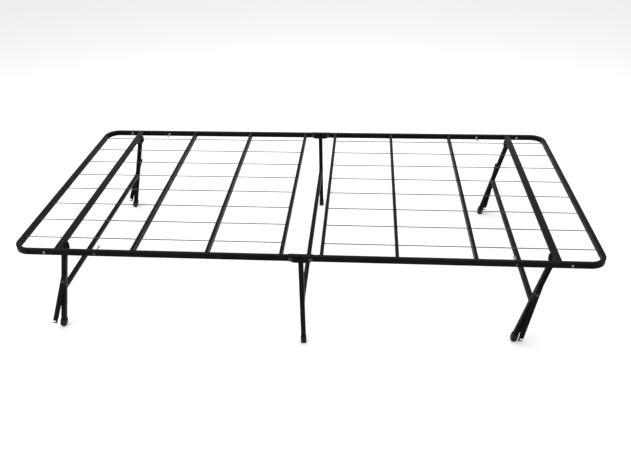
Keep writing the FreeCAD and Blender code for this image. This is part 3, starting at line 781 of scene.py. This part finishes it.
    def pivot_bolt(self, row: Row) -> None:
        """Makes a pivot bolt: a hexagonal head on a washer face, a shank and a threaded end."""
        node = f"{self.tag}_leg_bolt_{row.word}"
        piece = Piece(f"{self.tag}_hex_bolt_{row.word}")
        outer = reach(f"{self.tag}_leg_bracket_{row.word}", row)[1]
        tip, end = reach(node, row)
        nut_low, nut_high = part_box(f"{self.tag}_leg_nut_{row.word}")
        flats = nut_high.z - nut_low.z
        axis = Vector((0.0, row.value, 0.0))
        centre = cross_axis(node)
        rim, skirt = self.washer_share
        top = outer + self.washer_height
        face = turned([(0.0, outer), (rim * flats, outer), (skirt * flats, top), (0.0, top)],
                      self.washer_facets)
        piece.add(face, along(centre, axis))
        head = hex_blank(flats, end - outer - self.head_seat)
        piece.add(head, along(centre + axis * (outer + self.head_seat), axis))
        radius = self.bolt_radius
        root = radius - self.thread_root * self.thread_pitch
        foot, crest = (share * self.thread_pitch for share in self.thread_flank)
        run = (outer - tip) * self.thread_share
        profile = [(0.0, tip), (root, tip)]
        for n in range(int(run / self.thread_pitch)):
            base = tip + n * self.thread_pitch
            profile += [(root, base + foot), (radius, base + crest)]
        inside = outer + self.bolt_sink
        profile += [(radius, tip + run), (radius, inside), (0.0, inside)]
        piece.add(turned(profile, self.bolt_facets), along(centre, axis))
        piece.finish(self.body, Slot.HARDWARE, self.finishes, [node])

    def pivot_nut(self, row: Row) -> None:
        """Makes a pivot nut, its chamfered face inboard."""
        node = f"{self.tag}_leg_nut_{row.word}"
        piece = Piece(f"{self.tag}_hex_nut_{row.word}")
        low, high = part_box(node)
        outer = reach(node, row)[1]
        axis = Vector((0.0, row.value, 0.0))
        centre = cross_axis(node)
        piece.add(hex_blank(high.z - low.z, high.y - low.y), along(centre + axis * outer, -axis))
        piece.finish(self.body, Slot.HARDWARE, self.finishes, [node])


def stud_knob(node: str, inner_rail: float) -> float:
    """How far out from the bed's middle a stud's inner knob ends, where its shank begins.

    Args:
        node: the studs' node.
        inner_rail: the rails' inner faces, as a distance from the middle.

    Returns:
        The distance to the outer face of the knob.
    """
    distances = sorted({round(abs(vert.co.y), 5) for vert in frame["nodes"][node].data.vertices})
    return max(distance for distance in distances if distance < inner_rail - KNOB_CLEAR)


@dataclass
class LegFrame:
    """A folding leg frame: two legs, the bar between them, their foot caps and the brace rivets."""

    end: End
    finishes: Finishes
    weld: WeldRun = WeldRun(radius=1.7 * MM)
    cap_height: float = 29 * MM
    rim_height: float = 2.6 * MM
    rim_proud: float = 0.2 * MM
    rim_corner: float = 3.0 * MM
    rivet_facets: int = 32
    rivet_play: float = 0.1 * MM
    rivet_neck: float = 0.5
    rivet_shoulder: float = 0.83
    rivet_tail: Span = (0.7, 0.75)
    tail_edge: float = 0.2 * MM
    tail_height: float = 1.5 * MM
    shoulder_drop: float = 1.7 * MM

    def __post_init__(self) -> None:
        """Works out its names and the place that it leans in."""
        self.tag = self.end.word
        self.body = f"{self.tag}_legs"
        self.pivot = cross_axis(f"{self.tag}_leg_bolt_front")
        low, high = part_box(f"{self.tag}_leg_cap_front")
        self.cap_width = high.y - low.y
        sole = Vector((low.x + self.cap_width / 2.0, 0.0, self.cap_width / 2.0))
        self.down = (sole - self.pivot).normalized()
        self.to_sole = (sole - self.pivot).length
        self.lean = math.atan2(-self.down.x, -self.down.z)

    def at(self, distance: float, y: float) -> Matrix:
        """The leaning place at a distance down the leg from its pivot."""
        spot = self.pivot + self.down * distance
        return Matrix.Translation((spot.x, y, spot.z)) @ Matrix.Rotation(self.lean, 4, "Y")

    def build(self) -> None:
        """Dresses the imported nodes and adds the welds, cap rims and rivets."""
        legs = [f"{self.tag}_leg_{row.word}" for row in Row]
        caps = [f"{self.tag}_leg_cap_{row.word}" for row in Row]
        self.finishes.dress(Slot.PAINT, *legs, f"{self.tag}_leg_crossbar")
        self.finishes.dress(Slot.PLASTIC, *caps)
        self.welds()
        self.cap_rims()
        for row in Row:
            self.brace_rivet(row)

    def welds(self) -> None:
        """Welds the bar to the legs, all round each end."""
        piece = Piece(f"{self.tag}_leg_bar_welds")
        bar = f"{self.tag}_leg_crossbar"
        low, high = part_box(bar)
        distance = (middle(bar) - self.pivot).xz.length
        half = (high.z - low.z) / 2.0 / (math.cos(self.lean) + math.sin(self.lean))
        for y in (low.y, high.y):
            self.weld.ring(piece, self.at(distance, y), half, half)
        piece.finish(self.body, Slot.PAINT, self.finishes)

    def cap_rims(self) -> None:
        """Adds the moulded rim round the mouth of each foot cap."""
        piece = Piece(f"{self.tag}_cap_rims")
        wide = self.cap_width + 2.0 * self.rim_proud
        mouth = self.to_sole + self.cap_width / 2.0 - self.cap_height
        for row in Row:
            y = middle(f"{self.tag}_leg_cap_{row.word}").y
            shape = collar(wide, wide, self.rim_height, self.rim_corner)
            piece.add(shape, self.at(mouth + RIM_REST * self.rim_height, y))
        piece.finish(self.body, Slot.PLASTIC, self.finishes)

    def brace_rivet(self, row: Row) -> None:
        """Turns the shoulder rivet that a brace swings on."""
        node = f"{self.tag}_brace_rivet_{row.word}"
        piece = Piece(f"{self.tag}_domed_rivet_{row.word}")
        low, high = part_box(node)
        tail, outer = reach(node, row)
        seat = reach(f"{self.tag}_brace_{row.word}", row)[1] + self.rivet_play
        leg_face = reach(f"{self.tag}_leg_{row.word}", row)[1]
        radius = (high.x - low.x) / 2.0
        neck, shoulder = self.rivet_neck * radius, self.rivet_shoulder * radius
        swell = tail + self.tail_height
        step = seat - self.shoulder_drop
        profile = [(0.0, tail), (self.rivet_tail[0] * radius, tail + self.tail_edge),
                   (self.rivet_tail[1] * radius, swell), (neck, swell), (neck, leg_face),
                   (shoulder, leg_face), (shoulder, step), (neck, step), (neck, seat)]
        profile += dome(radius, outer - seat, seat)
        centre = cross_axis(node)
        piece.add(turned(profile, self.rivet_facets), along(centre, Vector((0.0, row.value, 0.0))))
        piece.finish(self.body, Slot.HARDWARE, self.finishes, [node])


@dataclass
class CentreStand:
    """The centre stand: two legs under riveted saddles, the bar between them and their foot caps."""

    finishes: Finishes
    weld: WeldRun = WeldRun(radius=1.7 * MM)
    rim_height: float = 2.4 * MM
    rim_proud: float = 0.25 * MM
    rim_corner: float = 2.6 * MM
    weld_inset: float = 2.5 * MM
    rivet_facets: int = 36
    shank_share: float = 8.0 / 13.0

    def build(self) -> None:
        """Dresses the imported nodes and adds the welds, cap rims and rivets."""
        rows = [row.word for row in Row]
        self.finishes.dress(Slot.PAINT, "center_crossbar", *(f"hinge_saddle_{row}" for row in rows),
                            *(f"center_leg_{row}" for row in rows))
        self.finishes.dress(Slot.PLASTIC, *(f"center_leg_cap_{row}" for row in rows))
        self.welds()
        self.cap_rims()
        for row in Row:
            self.saddle_rivets(row)

    def welds(self) -> None:
        """Welds the bar to the legs and each leg under its saddle."""
        piece = Piece("center_stand_welds")
        low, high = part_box("center_crossbar")
        half = (high.z - low.z) / 2.0
        for y in (low.y, high.y):
            self.weld.ring(piece, Matrix.Translation((0.0, y, (low.z + high.z) / 2.0)), half, half)
        for row in Row:
            low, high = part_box(f"center_leg_{row.word}")
            near, far = low.y + self.weld_inset, high.y - self.weld_inset
            for x in (low.x, high.x):
                self.weld.lay(piece, Vector((x, near, high.z)), Vector((x, far, high.z)))
        piece.finish("center", Slot.PAINT, self.finishes)

    def cap_rims(self) -> None:
        """Adds the moulded rim round the mouth of each foot cap."""
        piece = Piece("center_cap_rims")
        for row in Row:
            low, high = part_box(f"center_leg_cap_{row.word}")
            size = high - low
            shape = collar(size.x + 2.0 * self.rim_proud, size.y + 2.0 * self.rim_proud,
                           self.rim_height, self.rim_corner)
            place = Vector((0.0, (low.y + high.y) / 2.0, high.z - RIM_REST * self.rim_height))
            piece.add(shape, Matrix.Translation(place))
        piece.finish("center", Slot.PLASTIC, self.finishes)

    def saddle_rivets(self, row: Row) -> None:
        """Turns a saddle's two rivets, domed on both sides."""
        node = f"hinge_rivets_{row.word}"
        piece = Piece(f"domed_hinge_rivets_{row.word}")
        low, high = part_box(node)
        plate_low, plate_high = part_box(f"hinge_saddle_{row.word}")
        radius = (high.z - low.z) / 2.0
        shank = radius * self.shank_share
        profile = list(reversed(dome(radius, low.y - plate_low.y, plate_low.y)))
        profile += [(shank, plate_low.y), (shank, plate_high.y)]
        profile += dome(radius, high.y - plate_high.y, plate_high.y)
        for x in (low.x + radius, high.x - radius):
            piece.add(turned(profile, self.rivet_facets),
                      along(Vector((x, 0.0, (low.z + high.z) / 2.0)), Vector((0.0, 1.0, 0.0))))
        piece.finish("center", Slot.HARDWARE, self.finishes, [node])


@dataclass
class Brace:
    """A hooked brace, a pressed channel with its hook left flat."""

    end: End
    row: Row
    finishes: Finishes

    def build(self) -> None:
        """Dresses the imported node."""
        self.finishes.dress(Slot.PAINT, f"{self.end.word}_brace_{self.row.word}")


# ---------------------------------------------------------------- studio


@dataclass(frozen=True)
class SoftBox:
    """A rectangular studio light."""

    name: str
    place: Place
    aim: Place
    width: float
    depth: float
    power: float

    def hang(self) -> None:
        """Puts the light in its place, turned to what it lights."""
        data = bpy.data.lights.new(self.name, "AREA")
        data.shape = "RECTANGLE"
        data.size = self.width
        data.size_y = self.depth
        data.energy = self.power
        light = bpy.data.objects.new(self.name, data)
        light.location = self.place
        way = Vector(self.aim) - Vector(self.place)
        light.rotation_euler = way.to_track_quat("-Z", "Y").to_euler()
        bpy.context.scene.collection.objects.link(light)


@dataclass(frozen=True)
class Viewpoint:
    """Where the camera stands and how it is held."""

    place: Place = (0.1960, -2.1964, 1.5377)
    heading: float = 5.073
    dip: float = 32.606
    roll: float = -1.417
    lens: float = 37.72
    sensor: float = 36.0
    shift: Span = (0.0029, 0.0005)

    def set_up(self) -> None:
        """Makes the camera and looks through it."""
        data = bpy.data.cameras.new("camera")
        data.sensor_width = self.sensor
        data.lens = self.lens
        data.shift_x, data.shift_y = self.shift
        camera = bpy.data.objects.new("camera", data)
        turn = (Matrix.Rotation(math.radians(self.heading), 4, "Z")
                @ Matrix.Rotation(math.radians(90.0 - self.dip), 4, "X")
                @ Matrix.Rotation(math.radians(self.roll), 4, "Z"))
        camera.matrix_world = Matrix.Translation(self.place) @ turn
        bpy.context.scene.collection.objects.link(camera)
        bpy.context.scene.camera = camera


@dataclass(frozen=True)
class Studio:
    """A plain pale floor under soft light."""

    floor_half: float = 14.0
    floor_colour: Colour = (0.86, 0.86, 0.86)
    sky: float = 0.95
    lights: tuple[SoftBox, ...] = (
        SoftBox("ceiling_box", (0.0, 0.3, 2.9), (0.0, 0.0, 0.2), 3.4, 2.2, 60.0),
        SoftBox("left_box", (-2.6, -1.9, 1.9), (0.0, 0.0, 0.3), 1.4, 1.0, 22.0),
    )

    def set_up(self) -> None:
        """Lays the floor, lights the room and sets the camera."""
        self.lay_floor()
        world = bpy.data.worlds.new("studio_air")
        world.use_nodes = True
        air = world.node_tree.nodes["Background"]
        air.inputs["Color"].default_value = (1.0, 1.0, 1.0, 1.0)
        air.inputs["Strength"].default_value = self.sky
        bpy.context.scene.world = world
        bpy.context.scene.view_settings.view_transform = "Standard"
        for light in self.lights:
            light.hang()
        Viewpoint().set_up()

    def lay_floor(self) -> None:
        """Lays the floor."""
        shape = bmesh.new()
        bmesh.ops.create_grid(shape, x_segments=1, y_segments=1, size=self.floor_half)
        data = bpy.data.meshes.new("floor")
        shape.to_mesh(data)
        shape.free()
        matt = bpy.data.materials.new("pale_floor")
        matt.use_nodes = True
        surface = matt.node_tree.nodes["Principled BSDF"]
        surface.inputs["Base Color"].default_value = (*self.floor_colour, 1.0)
        surface.inputs["Roughness"].default_value = 0.9
        surface.inputs["Specular IOR Level"].default_value = 0.1
        data.materials.append(matt)
        floor = bpy.data.objects.new("floor", data)
        bpy.context.scene.collection.objects.link(floor)


def main() -> None:
    """Builds the studio and each sub-assembly in order."""
    logging.basicConfig(level=logging.INFO, format="%(name)s: %(message)s")
    Studio().set_up()
    finishes = Finishes()
    CentreStand(finishes).build()
    for end in End:
        DeckHalf(end, finishes).build()
        LegFrame(end, finishes).build()
        for row in Row:
            Brace(end, row, finishes).build()


if __name__ == "__main__":
    main()
